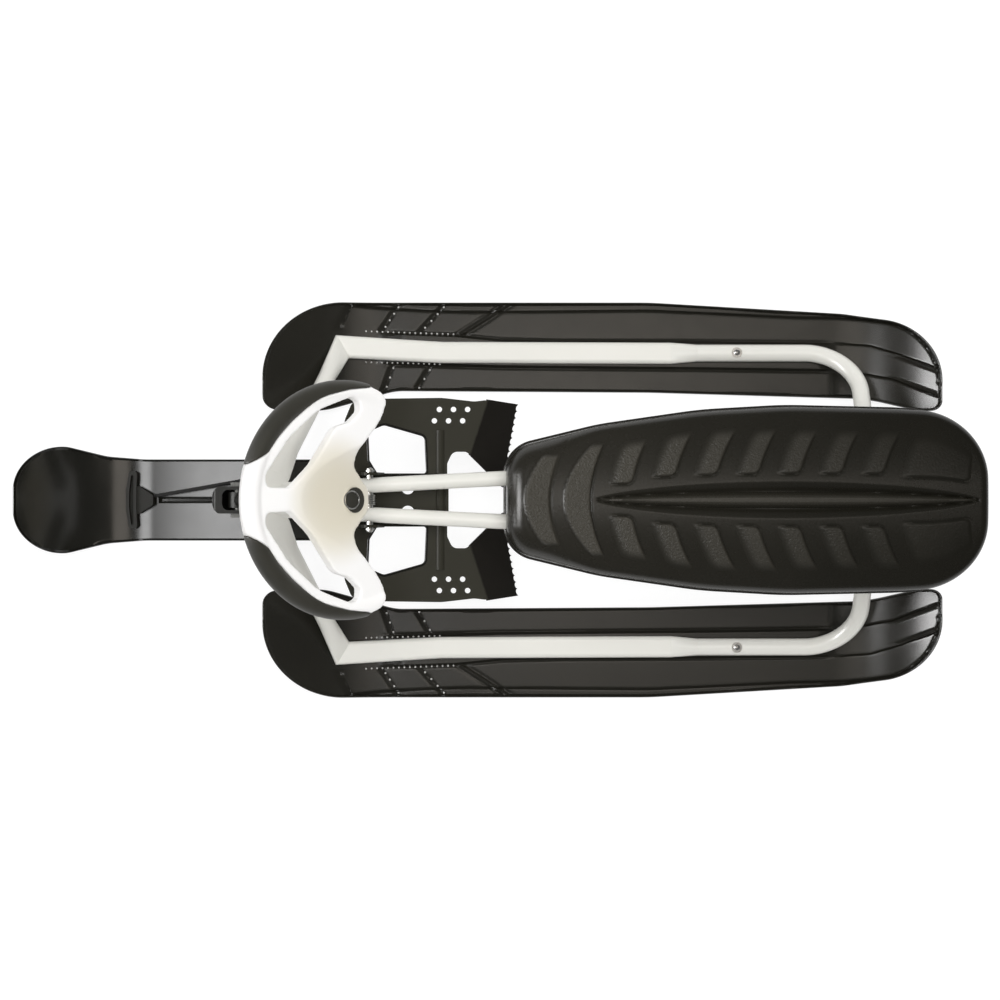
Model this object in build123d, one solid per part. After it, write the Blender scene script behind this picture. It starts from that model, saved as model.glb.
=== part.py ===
"""Steerable sled: two rear skis, a bent tube frame, a moulded seat, a steered front ski and a foot brake.

Millimetres. +X is forward, +Y is left, +Z is up, and the floor is Z = 0.
"""
import math
import os

from build123d import *

os.makedirs("parts", exist_ok=True)

# Overall places, along X, and a length that passes right through any piece
nose_x = 582
seat_rear_x = -582
beyond = 400

# Steering axis, raked back from upright through the ski bolt
rake = 36
bolt_x, bolt_z = 308, 60
hub_reach = 266
lean_x, lean_z = math.sin(math.radians(rake)), math.cos(math.radians(rake))
steer = Plane(origin=(bolt_x, 0, bolt_z), x_dir=(lean_z, 0, lean_x), z_dir=(-lean_x, 0, lean_z))

# Tubes
tube_d = 21
rail_w, rail_t = 26.5, 11
seat_tube_d = 18
rail_y = 182.4
deck_z = 10


def rounded(corners):
    """Flat face with straight sides and its own radius at each corner; rows are x, y, radius."""
    count = len(corners)
    turns = []
    for i, (x, y, radius) in enumerate(corners):
        here = Vector(x, y)
        back = (Vector(*corners[i - 1][:2]) - here).normalized()
        ahead = (Vector(*corners[(i + 1) % count][:2]) - here).normalized()
        half = math.acos(max(-1, min(1, back.dot(ahead)))) / 2
        reach = radius / math.tan(half)
        middle = here + (back + ahead).normalized() * (radius / math.sin(half) - radius)
        turns.append((here + back * reach, middle, here + ahead * reach))
    edges = []
    for i, (start, middle, stop) in enumerate(turns):
        if (stop - start).length > 0.01:
            edges.append(ThreePointArc(start, middle, stop))
        following = turns[(i + 1) % count][0]
        if (following - stop).length > 0.01:
            edges.append(Line(stop, following))
    return make_face(edges)


def both_sides(half):
    """Closed outline from the rows of its left half, which run from front to back."""
    return half + [(x, -y, radius) for x, y, radius in reversed(half)]


def turned_slab(low, high, front, rear, half_width):
    """Slab between two heights over a sole that turns up at both ends; ends are flat edge, radius, angle."""
    front_x, front_r, front_a = front
    rear_x, rear_r, rear_a = rear
    tip_low = CenterArc((front_x, front_r), front_r - low, 270, front_a)
    tip_high = CenterArc((front_x, front_r), front_r - high, 270, front_a)
    tail_low = CenterArc((rear_x, rear_r), rear_r - low, 270, -rear_a)
    tail_high = CenterArc((rear_x, rear_r), rear_r - high, 270, -rear_a)
    edges = [
        Line((rear_x, low), (front_x, low)),
        tip_low,
        Line(tip_low @ 1, tip_high @ 1),
        tip_high,
        Line((front_x, high), (rear_x, high)),
        tail_high,
        Line(tail_high @ 1, tail_low @ 1),
        tail_low,
    ]
    return extrude(Plane.XZ * make_face(edges), half_width, both=True)


def column_of(sketch, low, high):
    """Upright prism of a plan outline."""
    return extrude(Pos(0, 0, low) * sketch, high - low, dir=(0, 0, 1))


def left_and_right(name, left):
    """A node and its mirror image."""
    return {name + "_left": left, name + "_right": mirror(left, about=Plane.XZ)}


nodes = {}

# Rear skis: thin soles with a raised rim and border, a low plateau under the rail and stiffening ribs
ski_sole, ski_rim, ski_border = 4.5, 10, 6.3
rim_w, border_w = 3, 9
ski_ends = dict(front=(130, 223, 48), rear=(-430, 225, 42))
ski_high = 140
ski_plan = rounded([
    (278, 111, 17),
    (278, 246, 96),
    (-200, 246, 500),
    (-440, 232, 150),
    (-557, 214, 78),
    (-557, 110, 12),
    (-532, 110, 50),
    (-470, 126, 200),
    (-200, 134, 900),
    (118, 136, 80),
    (205, 111, 80),
])
plateau_plan = rounded([
    (120, 211, 8),
    (60, 210, 100),
    (-240, 197, 200),
    (-420, 197, 12),
    (-412, 163, 12),
    (-240, 163, 200),
    (60, 169, 100),
    (120, 171, 8),
])


def ski_layer(plan, low, high):
    """The piece of the rear ski over a plan outline, between two heights over its turned-up sole."""
    return turned_slab(low, high, **ski_ends, half_width=beyond) & column_of(plan, -1, ski_high)


rear_ski = ski_layer(ski_plan, 0, ski_sole)
rear_ski += ski_layer(ski_plan - offset(ski_plan, -border_w), 0, ski_border)
rear_ski += ski_layer(ski_plan - offset(ski_plan, -rim_w), 0, ski_rim)
rear_ski += column_of(plateau_plan, 1, deck_z)
rib_w, rib_rise = 2.6, 2.4
# Slanting ribs on the ski's flats: x and y at the rail, x and y at the edge
slanting_ribs = [
    (188, 211, 174, 244),
    (132, 211, 106, 244),
    (85, 209, 54, 244),
    (40, 206, -22, 244),
    (168, 150, 150, 171),
    (119, 170, 130, 137),
    (73, 170, 89, 137),
]
rib_lines = [Line((x0, y0), (x1, y1)) for x0, y0, x1, y1 in slanting_ribs]
# Ribs that fan out to the tail
rib_lines += [
    ThreePointArc((-416, 196, 0), (-490, 188, 0), (-554, 157, 0)),
    ThreePointArc((-410, 164, 0), (-480, 152, 0), (-555, 121, 0)),
]
for rib_line in rib_lines:
    rear_ski += ski_layer(trace(rib_line, rib_w), 1, ski_sole + rib_rise)
nodes |= left_and_right("rear_ski", rear_ski)

# Side tubes: crushed tab at the head, round diagonal, pinched corner, flattened rail, round rear end
corner = Vector(183, 190.5, 17)
tab_end = Vector(261, 13, 141)
diagonal = (tab_end - corner).normalized()
diagonal_side = Vector(0, 0, 1).cross(diagonal).normalized()
diagonal_run = (tab_end - corner).length
tab_w, tab_t = 31, 5
pinch_w, pinch_t = 33, 9
tab_long, tab_blend, corner_blend = 24, 38, 52


def crossing(place, along, side):
    """Plane square to a tube, with its width to the side."""
    return Plane(origin=place, x_dir=side, z_dir=along)


rail_start = Vector(60, 183.5, deck_z + rail_t / 2)
rail_end = Vector(-225, rail_y, deck_z + rail_t / 2)
round_start = Vector(-258, rail_y, deck_z + tube_d / 2)
round_end = Vector(-390, rail_y, deck_z + tube_d / 2)
back = Vector(-1, 0, 0)
left = Vector(0, 1, 0)
fold = (back - diagonal).normalized()
fold_side = Vector(0, 0, 1).cross(fold).normalized()
flat_tab = SlotOverall(tab_w, tab_t)
round_tube = Circle(tube_d / 2)
flat_rail = SlotOverall(rail_w, rail_t)
pinched = SlotOverall(pinch_w, pinch_t)
tab_plane = crossing(tab_end - diagonal * tab_long, -diagonal, -diagonal_side)
upper_plane = crossing(tab_end - diagonal * (tab_long + tab_blend), -diagonal, -diagonal_side)
lower_plane = crossing(corner + diagonal * corner_blend, -diagonal, -diagonal_side)
fold_plane = crossing(corner, fold, -fold_side)
side_tube = extrude(tab_plane * flat_tab, -tab_long)
side_tube += loft([tab_plane * flat_tab, upper_plane * round_tube])
side_tube += extrude(upper_plane * round_tube, diagonal_run - tab_long - tab_blend - corner_blend)
side_tube += loft([lower_plane * round_tube, fold_plane * pinched])
rail_planes = [crossing(rail_start, back, left), crossing(rail_end, back, left)]
side_tube += loft([fold_plane * pinched, rail_planes[0] * flat_rail])
side_tube += loft([plane * flat_rail for plane in rail_planes])
side_tube += loft([rail_planes[1] * flat_rail, crossing(round_start, back, left) * round_tube])
side_tube += extrude(crossing(round_start, back, left) * round_tube, round_start.X - round_end.X)

# Head tube with a bush at each end
head_r, head_bore = 17, 14
column_r = 12
running = 0.05
head_low, head_high = 62, 142
head_tube = steer * (Pos(0, 0, head_low) * extrude(Circle(head_r) - Circle(head_bore), head_high - head_low))
bush_deep, flange_t = 22, 4
bush = extrude(Circle(head_bore) - Circle(column_r + running), bush_deep)
bush += extrude(Circle(head_r) - Circle(column_r + running), -flange_t)
nodes["head_tube"] = head_tube
nodes["lower_bush"] = steer * Pos(0, 0, head_low) * bush
nodes["upper_bush"] = steer * Pos(0, 0, head_high) * Rot(180, 0, 0) * bush
head_length = head_high - head_low + 2 * flange_t
head_envelope = steer * (Pos(0, 0, head_low - flange_t) * extrude(Circle(head_r), head_length))

# Rear arch: bends in and up from both rails to a crown under the seat
arch_tilt = 38
bend_r, crown_r = 65, 60
crown_y = 62
rise_z, rise_y = math.sin(math.radians(arch_tilt)), math.cos(math.radians(arch_tilt))
inward = Vector(0, -rise_y, rise_z)
bend_stop = round_end + back * bend_r + inward * bend_r
bend_half = (back + inward * -1).normalized() * bend_r
bend_middle = round_end + inward * bend_r + bend_half
leg_stop = bend_stop + inward * ((bend_stop.Y - crown_y) / rise_y)
crown_top = leg_stop.Z + crown_r * (1 - rise_y)
crown_stop_y = crown_y - crown_r * rise_z
half_tilt = math.radians(arch_tilt / 2)
crown_middle = Vector(
    leg_stop.X,
    crown_stop_y + crown_r * math.sin(half_tilt),
    crown_top - crown_r * (1 - math.cos(half_tilt)))
half_path = [
    ThreePointArc(round_end, bend_middle, bend_stop),
    Line(bend_stop, leg_stop),
    ThreePointArc(leg_stop, crown_middle, (leg_stop.X, crown_stop_y, crown_top)),
    Line((leg_stop.X, crown_stop_y, crown_top), (leg_stop.X, 0, crown_top)),
]
half_arch = sweep(crossing(round_end, back, left) * round_tube, path=Wire(half_path))
rear_arch = half_arch + mirror(half_arch, about=Plane.XZ)
nodes["rear_arch"] = rear_arch

# Twin seat tubes: from the head tube back under the seat onto the arch
seat_tube_z = crown_top + tube_d / 2 + seat_tube_d / 2 - 0.6
tube_front = Vector(246, 12, 139)
tube_knee = Vector(-15, 25.6, seat_tube_z)
tube_rear = Vector(-486, 25.6, seat_tube_z)
tube_path = FilletPolyline(tube_front, tube_knee, tube_rear, radius=200)
tube_along = (tube_knee - tube_front).normalized()
tube_face = crossing(tube_front, tube_along, left) * Circle(seat_tube_d / 2)
seat_tube = sweep(tube_face, path=tube_path) - head_envelope - rear_arch
nodes |= left_and_right("side_tube", side_tube - head_envelope - seat_tube)

# Brake pivot: a rod through both seat tubes, with a wound return spring between them
pivot_x, pivot_z = 142, 142
pivot_r = 4
rod_half = 37
pivot_turn = Plane(origin=(pivot_x, 0, pivot_z), x_dir=(1, 0, 0), z_dir=(0, -1, 0))
pivot_rod = extrude(pivot_turn * Circle(pivot_r), rod_half, both=True)
nodes |= left_and_right("seat_tube", seat_tube - pivot_rod)
nodes["brake_pivot_rod"] = pivot_rod
coil_r, wire_d, coil_pitch, coil_count = 7.2, 2, 2.4, 6
spring = extrude(pivot_turn * Circle(coil_r - wire_d / 2), coil_pitch * coil_count / 2, both=True)
for i in range(coil_count):
    coil_y = coil_pitch * (i + 0.5 - coil_count / 2)
    spring += pivot_turn * Pos(0, 0, coil_y) * Cylinder(coil_r, wire_d)
nodes["brake_spring"] = spring - pivot_rod

# Foot brake: stamped plate with foot grips, two windows, ears on the rod and a bent-down serrated claw
plate_top, plate_t = 112, 3
bend_outer, bend_inner = Vector(1, 120.5, plate_top), Vector(22.5, 54.1, plate_top)
plate_half = [
    (174, 96, 10),
    (165, 118, 10),
    (128, 122, 60),
    (57, 123, 60),
    (18, 118.5, 30),
    (bend_outer.X, bend_outer.Y, 3),
    (bend_inner.X, bend_inner.Y, 1),
    (28, 58, 7),
    (44, 58, 9),
    (50.5, 44, 9),
]
window_half = [
    (134.5, 32, 3),
    (144, 47.5, 5),
    (145.5, 82, 9),
    (127, 90, 9),
    (78, 76, 6),
    (76, 32, 3),
]
plate = rounded(both_sides(plate_half))
grip_hole_d, hole_pitch = 6.5, 17
tongue_hole_x, tongue_hole_y, tongue_hole_r = 98, 14.9, 8
# Foot grip hole rows: first x, y
hole_rows = [
    (60, 109),
    (66, 95.3),
]
for side in (1, -1):
    plate -= rounded([(x, side * y, radius) for x, y, radius in window_half])
    plate -= Pos(tongue_hole_x, side * tongue_hole_y) * Circle(tongue_hole_r)
    for first_x, row_y in hole_rows:
        for i in range(3):
            plate -= Pos(first_x - i * hole_pitch, side * row_y) * Circle(grip_hole_d / 2)
brake = column_of(plate, plate_top - plate_t, plate_top)
# A pressed bead across the plate and a rolled hem behind it
bead_r, bead_x, bead_half, bead_sink = 6, 59, 84, 3
hem_r, hem_x, hem_half = 2.2, 51, 24
bead = Pos(bead_x, 0, plate_top - bead_sink) * Rot(90, 0, 0) * Cylinder(bead_r, 2 * bead_half)
brake += bead & column_of(Rectangle(beyond, beyond), plate_top - plate_t / 2, beyond)
brake += Pos(hem_x, 0, plate_top) * Rot(90, 0, 0) * Cylinder(hem_r, 2 * hem_half)
# Claw in its own plane: x inward along the bend, y down the slope
bend_line = (bend_inner - bend_outer).normalized()
claw_slope = math.radians(58)
flat_out = Vector(0, 0, 1).cross(bend_line) * -1
claw_down = flat_out * math.cos(claw_slope) + Vector(0, 0, -1) * math.sin(claw_slope)
claw_plane = Plane(origin=bend_outer, x_dir=bend_line, z_dir=bend_line.cross(claw_down))
bend_run = (bend_inner - bend_outer).length
tooth_count, tooth_r, last_tooth = 12, 4, 0.5
claw_lean = 24.6
edge_start, edge_stop = Vector(-8, 68), Vector(bend_run + claw_lean, 94)
claw = Polygon((0, 0), (bend_run, 0), (edge_stop.X, edge_stop.Y), (edge_start.X, edge_start.Y), align=None)
for i in range(tooth_count):
    notch = edge_start + (edge_stop - edge_start) * ((i + 0.5) / (tooth_count + last_tooth))
    claw -= Pos(notch.X, notch.Y) * Circle(tooth_r)
claw_solid = extrude(claw_plane * claw, plate_t)
if claw_solid.center().Z > (claw_plane * claw).center().Z:
    claw_solid = extrude(claw_plane * claw, -plate_t)
# Ears that hang the plate on the rod
ear_y, ear_t, ear_r = 29.5, 3.5, 10
ear_foot = 16
ear = Pos(pivot_x, pivot_z) * Circle(ear_r)
ear += rounded([
    (pivot_x - ear_foot, plate_top - plate_t / 2, 0),
    (pivot_x + ear_foot, plate_top - plate_t / 2, 0),
    (pivot_x + ear_r, pivot_z, 0),
    (pivot_x - ear_r, pivot_z, 0),
])
ear -= Pos(pivot_x, pivot_z) * Circle(pivot_r + running)
ear_solid = Pos(0, ear_y + ear_t, 0) * extrude(Plane.XZ * ear, ear_t)
for piece in (claw_solid, ear_solid):
    brake += piece
    brake += mirror(piece, about=Plane.XZ)
nodes["brake_plate"] = brake

# Seat: long moulded saddle with a crowned top, raised pads, a long hollow with a ridge, and a lipped skirt
seat_front_x, skirt_z = -17, 138
lip_t, lip_w, skirt_wall = 7, 4, 9
seat_half = [
    (seat_front_x, 63, 42),
    (-130, 90.5, 300),
    (-250, 107.8, 500),
    (-350, 113.5, 500),
    (-480, 110.5, 150),
    (seat_rear_x, 104, 84),
]
seat_plan = rounded(both_sides(seat_half))
top_r, top_fall, top_edge_r = 250, 2, 15
top_middle = Plane(origin=(-300, 0, 224)).rotated((0, top_fall, 0))


def top_barrel(extra):
    """Long cylinder whose upper side is the seat's crowned top, raised by a little."""
    radius = top_r + extra
    return top_middle * Pos(0, 0, -top_r) * Rot(0, 90, 0) * Cylinder(radius, 2 * beyond)


seat = column_of(offset(seat_plan, -lip_w), skirt_z, beyond) & top_barrel(0)
shoulder_z = 183
seat = fillet(seat.edges().filter_by(lambda edge: edge.center().Z > shoulder_z), top_edge_r)
seat += column_of(seat_plan, skirt_z, skirt_z + lip_t)
# Crescent pads at the front: front x, thickness, sweep of the tips, half width
crescents = [
    (-41.6, 30, 40, 50.5),
    (-87.7, 31, 45, 62.4),
]
pad_plans = []
for front_x, thick, swept, half in crescents:
    tips = [Vector(front_x - swept, half), Vector(front_x - swept, -half)]
    bulge = ThreePointArc(tips[0], (front_x, 0), tips[1])
    pad_plans.append(make_face([bulge, ThreePointArc(tips[0], (front_x - thick, 0), tips[1])]))
# Slanting pads along both sides: front x, inner y, outer y, lean
pad_long = 28
slanting_pads = [
    (-136, 20, 73, 18),
    (-184, 28, 82, 20),
    (-232, 31, 86, 24),
    (-280, 33, 87, 24),
    (-328, 33, 87, 24),
    (-376, 33, 86, 24),
    (-424, 32, 84, 24),
]
half_pads = [
    [
        (front_x, inner_y, 2),
        (front_x - lean, outer_y, 3),
        (front_x - lean - pad_long, outer_y, 2),
        (front_x - pad_long, inner_y, 7),
    ]
    for front_x, inner_y, outer_y, lean in slanting_pads
]
half_pads.append([(-472, 30, 3), (-494, 80, 6), (-535, 70, 25), (-556, 45, 12), (-556, 22, 3)])
for half_pad in half_pads:
    for side in (1, -1):
        pad_plans.append(rounded([(x, side * y, radius) for x, y, radius in half_pad]))
pad_rise, pad_root = 1.4, 3
pad_skin = top_barrel(pad_rise) - top_barrel(-pad_root)
for pad_plan in pad_plans:
    seat += pad_skin & column_of(pad_plan, skirt_z, beyond)


def spindle(length, middle_r, end_r):
    """Round body along X with an arc for its side."""
    end = length / 2
    outline = make_face([
        ThreePointArc((-end, end_r), (0, middle_r), (end, end_r)),
        Polyline((end, end_r), (end, 0), (-end, 0), (-end, end_r)),
    ])
    return revolve(Plane.XZ * outline, axis=Axis.X)


# Hollow: a spindle laid over the seat dips into it, and a thin spindle stands in it as the ridge
hollow_long, hollow_deep, hollow_lift = 418, 6, 36
ridge_r, ridge_end_r, ridge_sink = 9, 4, 0.8
hollow_middle = top_middle * Pos(-57, 0, 0)
dip = spindle(hollow_long, hollow_lift + hollow_deep, hollow_lift - 0.5)
seat -= hollow_middle * Pos(0, 0, hollow_lift) * dip
seat += hollow_middle * Pos(0, 0, -ridge_r - ridge_sink) * spindle(hollow_long - 16, ridge_r, ridge_end_r)
# The skirt stands round the tubes and is notched for them in front
seat_under = seat_tube_z + seat_tube_d / 2
seat -= column_of(offset(seat_plan, -skirt_wall), skirt_z - 1, seat_under)
notch_r, notch_long, notch_drop = seat_tube_d / 2 + 0.4, 40, 40
for side in (1, -1):
    notch = Rot(0, 90, 0) * Cylinder(notch_r, notch_long)
    notch += Pos(0, 0, -notch_drop / 2) * Box(notch_long, 2 * notch_r, notch_drop)
    seat -= Pos(seat_front_x, side * tube_knee.Y, seat_tube_z) * notch
nodes["seat"] = seat

# Steering column, wheel, grips and hub cap, in the steering axis: u forward, v left, w up the axis
column_low, column_high = 30, 246
nodes["steering_column"] = steer * Pos(0, 0, column_low) * extrude(Circle(column_r), column_high - column_low)
rim_centre, rim_r, rim_tube_r = 13.5, 124, 12
plate_half_t = 8
rear_half = [
    (-17, 128.5, 4),
    (-31, 123, 16),
    (-38, 106, 22),
    (-27, 86, 60),
    (-1, 56, 24),
    (-2, 38, 16),
    (-31, 12, 10),
]
opening_half = [
    (8, 117, 8),
    (52, 101, 50),
    (92, 68, 50),
    (121, 28, 8),
    (120, 14, 6),
    (88, 13, 8),
    (60, 39, 30),
    (30, 82, 20),
    (10, 88, 10),
    (-4, 101, 6),
    (-2, 112, 6),
]
grip_half = [
    (170, 24, 0),
    (118, 53, 0),
    (106, 68, 60),
    (85, 89, 60),
    (53, 115, 80),
    (13, 125, 60),
    (-17, 128, 0),
    (-17, 180, 0),
    (170, 180, 0),
]
rear_end = (rear_half[0][0], beyond, 0)
rear_corner = (-beyond, beyond, 0)
rear_cut = rounded(both_sides([rear_corner, rear_end] + rear_half))
wheel_plan = Pos(rim_centre, 0) * Circle(rim_r + rim_tube_r) - rear_cut
for side in (1, -1):
    for half_outline in (opening_half, grip_half):
        wheel_plan -= rounded([(u, side * v, radius) for u, v, radius in half_outline])
rim = Pos(rim_centre, 0, 0) * Torus(rim_r, rim_tube_r)
body = Pos(rim_centre, 0, 0) * Cylinder(rim_r, 2 * plate_half_t)
# The hub swells below the plate, and a wide valley that falls to the rear is cut into its top
boss_r, boss_low = 23, -62
swell_r, swell_low = 62, -36
body += Pos(0, 0, (swell_low - plate_half_t) / 2) * Cone(boss_r, swell_r, -swell_low - plate_half_t)
wheel = (body + rim) & column_of(wheel_plan, -beyond, beyond)
wheel += Pos(0, 0, boss_low) * extrude(Circle(boss_r), -boss_low - plate_half_t)
valley_r, valley_fall, valley_w = 110, 14, -11
valley = Plane(origin=(0, 0, valley_w)).rotated((0, -valley_fall, 0))
wheel -= valley * Pos(0, 0, valley_r) * Rot(0, 90, 0) * Cylinder(valley_r, 2 * beyond)
cap_u, cap_r, cap_t = -7, 14.5, 2.4
collar_r, collar_rise, collar_root = 17, 1.6, 10
cap_plane = valley * Pos(cap_u, 0, 0)
wheel += cap_plane * Pos(0, 0, -collar_root) * extrude(Circle(collar_r), collar_root + collar_rise)
wheel -= cap_plane * extrude(Circle(cap_r), collar_root)
wheel -= Pos(0, 0, column_low - hub_reach) * extrude(Circle(column_r), column_high - column_low)
wheel_plane = steer * Pos(0, 0, hub_reach)
nodes["steering_wheel"] = wheel_plane * wheel
grip = rim & column_of(rounded(grip_half), -beyond, beyond)
nodes |= left_and_right("wheel_grip", wheel_plane * grip)
nodes["wheel_hub_cap"] = wheel_plane * cap_plane * extrude(Circle(cap_r), cap_t)

# Column eye on the ski bolt
bolt_turn = Plane(origin=(bolt_x, 0, bolt_z), x_dir=(1, 0, 0), z_dir=(0, -1, 0))
bolt_r = 5
eye_r, eye_half, neck_r = 12.5, 9.5, 10
eye = extrude(bolt_turn * Circle(eye_r), eye_half, both=True)
eye += steer * extrude(Circle(neck_r), column_low)
eye -= extrude(bolt_turn * Circle(bolt_r + running), beyond, both=True)
nodes["column_eye"] = eye

# Front ski: shovel nose, thin rim, middle rib
nose_ends = dict(front=(420, 245, 60), rear=(226, 150, 30))
front_half = [
    (nose_x, 66, 54),
    (523, 66, 30),
    (476, 54.2, 90),
    (430, 50.6, 150),
    (181, 50.6, 26),
]
front_plan = rounded(both_sides(front_half))
front_sole = 5


def nose_layer(plan, high):
    """The piece of the front ski over a plan outline, up to a height over its turned-up sole."""
    return turned_slab(0, high, **nose_ends, half_width=beyond) & column_of(plan, -1, ski_high)


front_ski = nose_layer(front_plan, front_sole)
front_ski += nose_layer(front_plan - offset(front_plan, -rim_w), ski_rim)
# Middle rib: a round bar on a web, rising to the bracket
bracket_front = 342
rib_r, web_half = 4, 2.6
rib_front, rib_rear = Vector(413, 0, 6), Vector(bracket_front + 1.2, 0, 20)
rib_along = (rib_rear - rib_front).normalized()
front_ski += extrude(crossing(rib_front, rib_along, left) * Circle(rib_r), (rib_rear - rib_front).length)
web = Polyline((rib_front.X, 1), (rib_front.X, rib_front.Z), (rib_rear.X, rib_rear.Z), (rib_rear.X, 1), close=True)
front_ski += extrude(Plane.XZ * make_face(web), web_half, both=True)
nodes["front_ski"] = front_ski

# Ski bracket: eight-sided cup with a round hollow for the column eye, on a broad foot
cheek_out, cheek_in = 16.5, 12.5
bracket_rear, foot_rear, floor_top, cup_top = 258, 250, 12, 74
cup = rounded(both_sides([(bracket_front, 6, 2), (331, cheek_out, 4), (bracket_rear, cheek_out, 3)]))
hollow_front = 326
cup_hollow = rounded(both_sides([(hollow_front, cheek_in, 8), (bracket_rear - cheek_out, cheek_in, 0)]))
cup_side = rounded([
    (bracket_rear, front_sole, 0),
    (bracket_front, front_sole, 0),
    (bracket_front, 40, 30),
    (336, cup_top, 3),
    (292, cup_top + 3, 14),
    (276, 30, 20),
    (bracket_rear, floor_top, 4),
])
foot = rounded(both_sides([(338, 11, 5), (318, 15, 10), (300, 27, 10), (foot_rear, 27, 8)]))
bracket = column_of(cup, front_sole, beyond) & extrude(Plane.XZ * cup_side, beyond, both=True)
bracket += column_of(foot, front_sole, floor_top - 2)
bracket -= column_of(cup_hollow, floor_top, beyond)
nut_d, nut_t = 18, 5
ski_bolt = extrude(bolt_turn * Circle(bolt_r), cheek_out + nut_t, both=True)
for side in (1, -1):
    ski_bolt += extrude(bolt_turn * Pos(0, 0, side * cheek_out) * RegularPolygon(nut_d / 2, 6), side * nut_t)
bolt_core = extrude(bolt_turn * Circle(bolt_r), 2 * cheek_out, both=True)
nodes["ski_bracket"] = bracket - bolt_core
nodes["ski_pivot_bolt"] = ski_bolt

# Tow handle: an upright bowed plate with a long groove in its top and a neck for the cord
handle_z, handle_high, handle_half = 7.2, 30, 35.5
bar = rounded(both_sides([(450, 12, 25), (446, handle_half, 4), (436, handle_half, 4), (437, 12, 40)]))
neck = rounded(both_sides([(440, 17, 3), (434, 17, 4), (417, 6, 3)]))
neck_z, neck_high = 14, 26
slot_half = handle_half - 5
slot = rounded(both_sides([(446, 10, 25), (443.5, slot_half, 1.2), (440.5, slot_half, 1.2), (441, 10, 40)]))
slot_floor = 22
handle = column_of(bar, handle_z, handle_high) + column_of(neck, neck_z, neck_high)
nodes["tow_handle"] = handle - column_of(slot, slot_floor, beyond)

# Taut tow cord, which runs from the handle into a closed reel on the bracket's right cheek
reel_r, reel_t = 15, 15
reel_x, reel_z = 288, 38
reel_turn = Plane(origin=(reel_x, -cheek_out, reel_z), x_dir=(1, 0, 0), z_dir=(0, -1, 0))
nodes["cord_reel"] = extrude(reel_turn * Circle(reel_r), reel_t)
cord_r = 2.3
cord_start = Vector(415.8, -5, (neck_z + neck_high) / 2)
cord_stop = Vector(reel_x + reel_r + 1.6, -cheek_out - reel_t / 2, reel_z + 4)
cord_along = (cord_stop - cord_start).normalized()
cord_face = crossing(cord_start, cord_along, Vector(0, 0, 1).cross(cord_along)) * Circle(cord_r)
nodes["tow_cord"] = extrude(cord_face, (cord_stop - cord_start).length)

for name, node in nodes.items():
    export_step(node, f"parts/{name}.step")
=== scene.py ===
"""Steerable sled, dressed over its CAD frame. Metres, +X forward, +Y left, +Z up."""

import math

import bmesh
import bpy
import numpy as np
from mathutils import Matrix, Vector


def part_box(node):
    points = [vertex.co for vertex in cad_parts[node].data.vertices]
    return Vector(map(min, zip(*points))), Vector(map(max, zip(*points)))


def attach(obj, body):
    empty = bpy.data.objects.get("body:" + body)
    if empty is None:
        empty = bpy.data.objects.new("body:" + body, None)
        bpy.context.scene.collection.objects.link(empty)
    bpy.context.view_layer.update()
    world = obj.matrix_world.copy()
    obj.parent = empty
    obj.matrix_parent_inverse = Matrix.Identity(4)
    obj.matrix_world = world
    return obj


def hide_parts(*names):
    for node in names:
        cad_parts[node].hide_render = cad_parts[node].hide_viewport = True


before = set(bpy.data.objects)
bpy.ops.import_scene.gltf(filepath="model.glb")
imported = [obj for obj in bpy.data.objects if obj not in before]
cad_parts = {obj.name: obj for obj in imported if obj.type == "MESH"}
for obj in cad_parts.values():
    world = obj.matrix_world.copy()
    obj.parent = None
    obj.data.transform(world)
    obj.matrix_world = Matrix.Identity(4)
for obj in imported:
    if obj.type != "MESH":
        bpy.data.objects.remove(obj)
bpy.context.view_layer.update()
mm = 0.001


# White tube frame
# One steel tube bent round the sled, crushed at the head and flattened along the skis, with a head tube and
# twin seat tubes welded to it. The whole frame is sprayed in an ivory enamel with a soft sheen.
class Shade:
    """A socket in one material's node tree. Arithmetic on it adds Math nodes to that tree."""

    def __init__(self, tree, socket=None):
        self.tree = tree
        self.socket = socket

    def node(self, kind, settings=None, sockets=None, output=0):
        """A new node of this type, with its settings and then the values or links of its sockets."""
        made = self.tree.nodes.new("ShaderNode" + kind)
        for name, value in (settings or {}).items():
            setattr(made, name, value)
        for name, value in (sockets or {}).items():
            if isinstance(value, Shade):
                self.tree.links.new(value.socket, made.inputs[name])
            else:
                made.inputs[name].default_value = value
        return Shade(self.tree, made.outputs[output])

    def math(self, operation, *others):
        """A Math node on this value and the others."""
        return self.node("Math", {"operation": operation}, dict(enumerate((self,) + others)))

    def __add__(self, other):
        return self.math("ADD", other)

    def __sub__(self, other):
        return self.math("SUBTRACT", other)

    def __rsub__(self, other):
        return self.node("Math", {"operation": "SUBTRACT"}, {0: other, 1: self})

    def __mul__(self, other):
        return self.math("MULTIPLY", other)

    __radd__ = __add__
    __rmul__ = __mul__

    def between(self, low, high):
        """Two colours mixed by this value."""
        return self.node("Mix", {"data_type": "RGBA"}, {0: self, 6: (*low, 1), 7: (*high, 1)}, 2)

    def bump(self, strength, distance):
        """A bumped normal from this height."""
        return self.node("Bump", None, {"Strength": strength, "Distance": distance, "Height": self})


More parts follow.
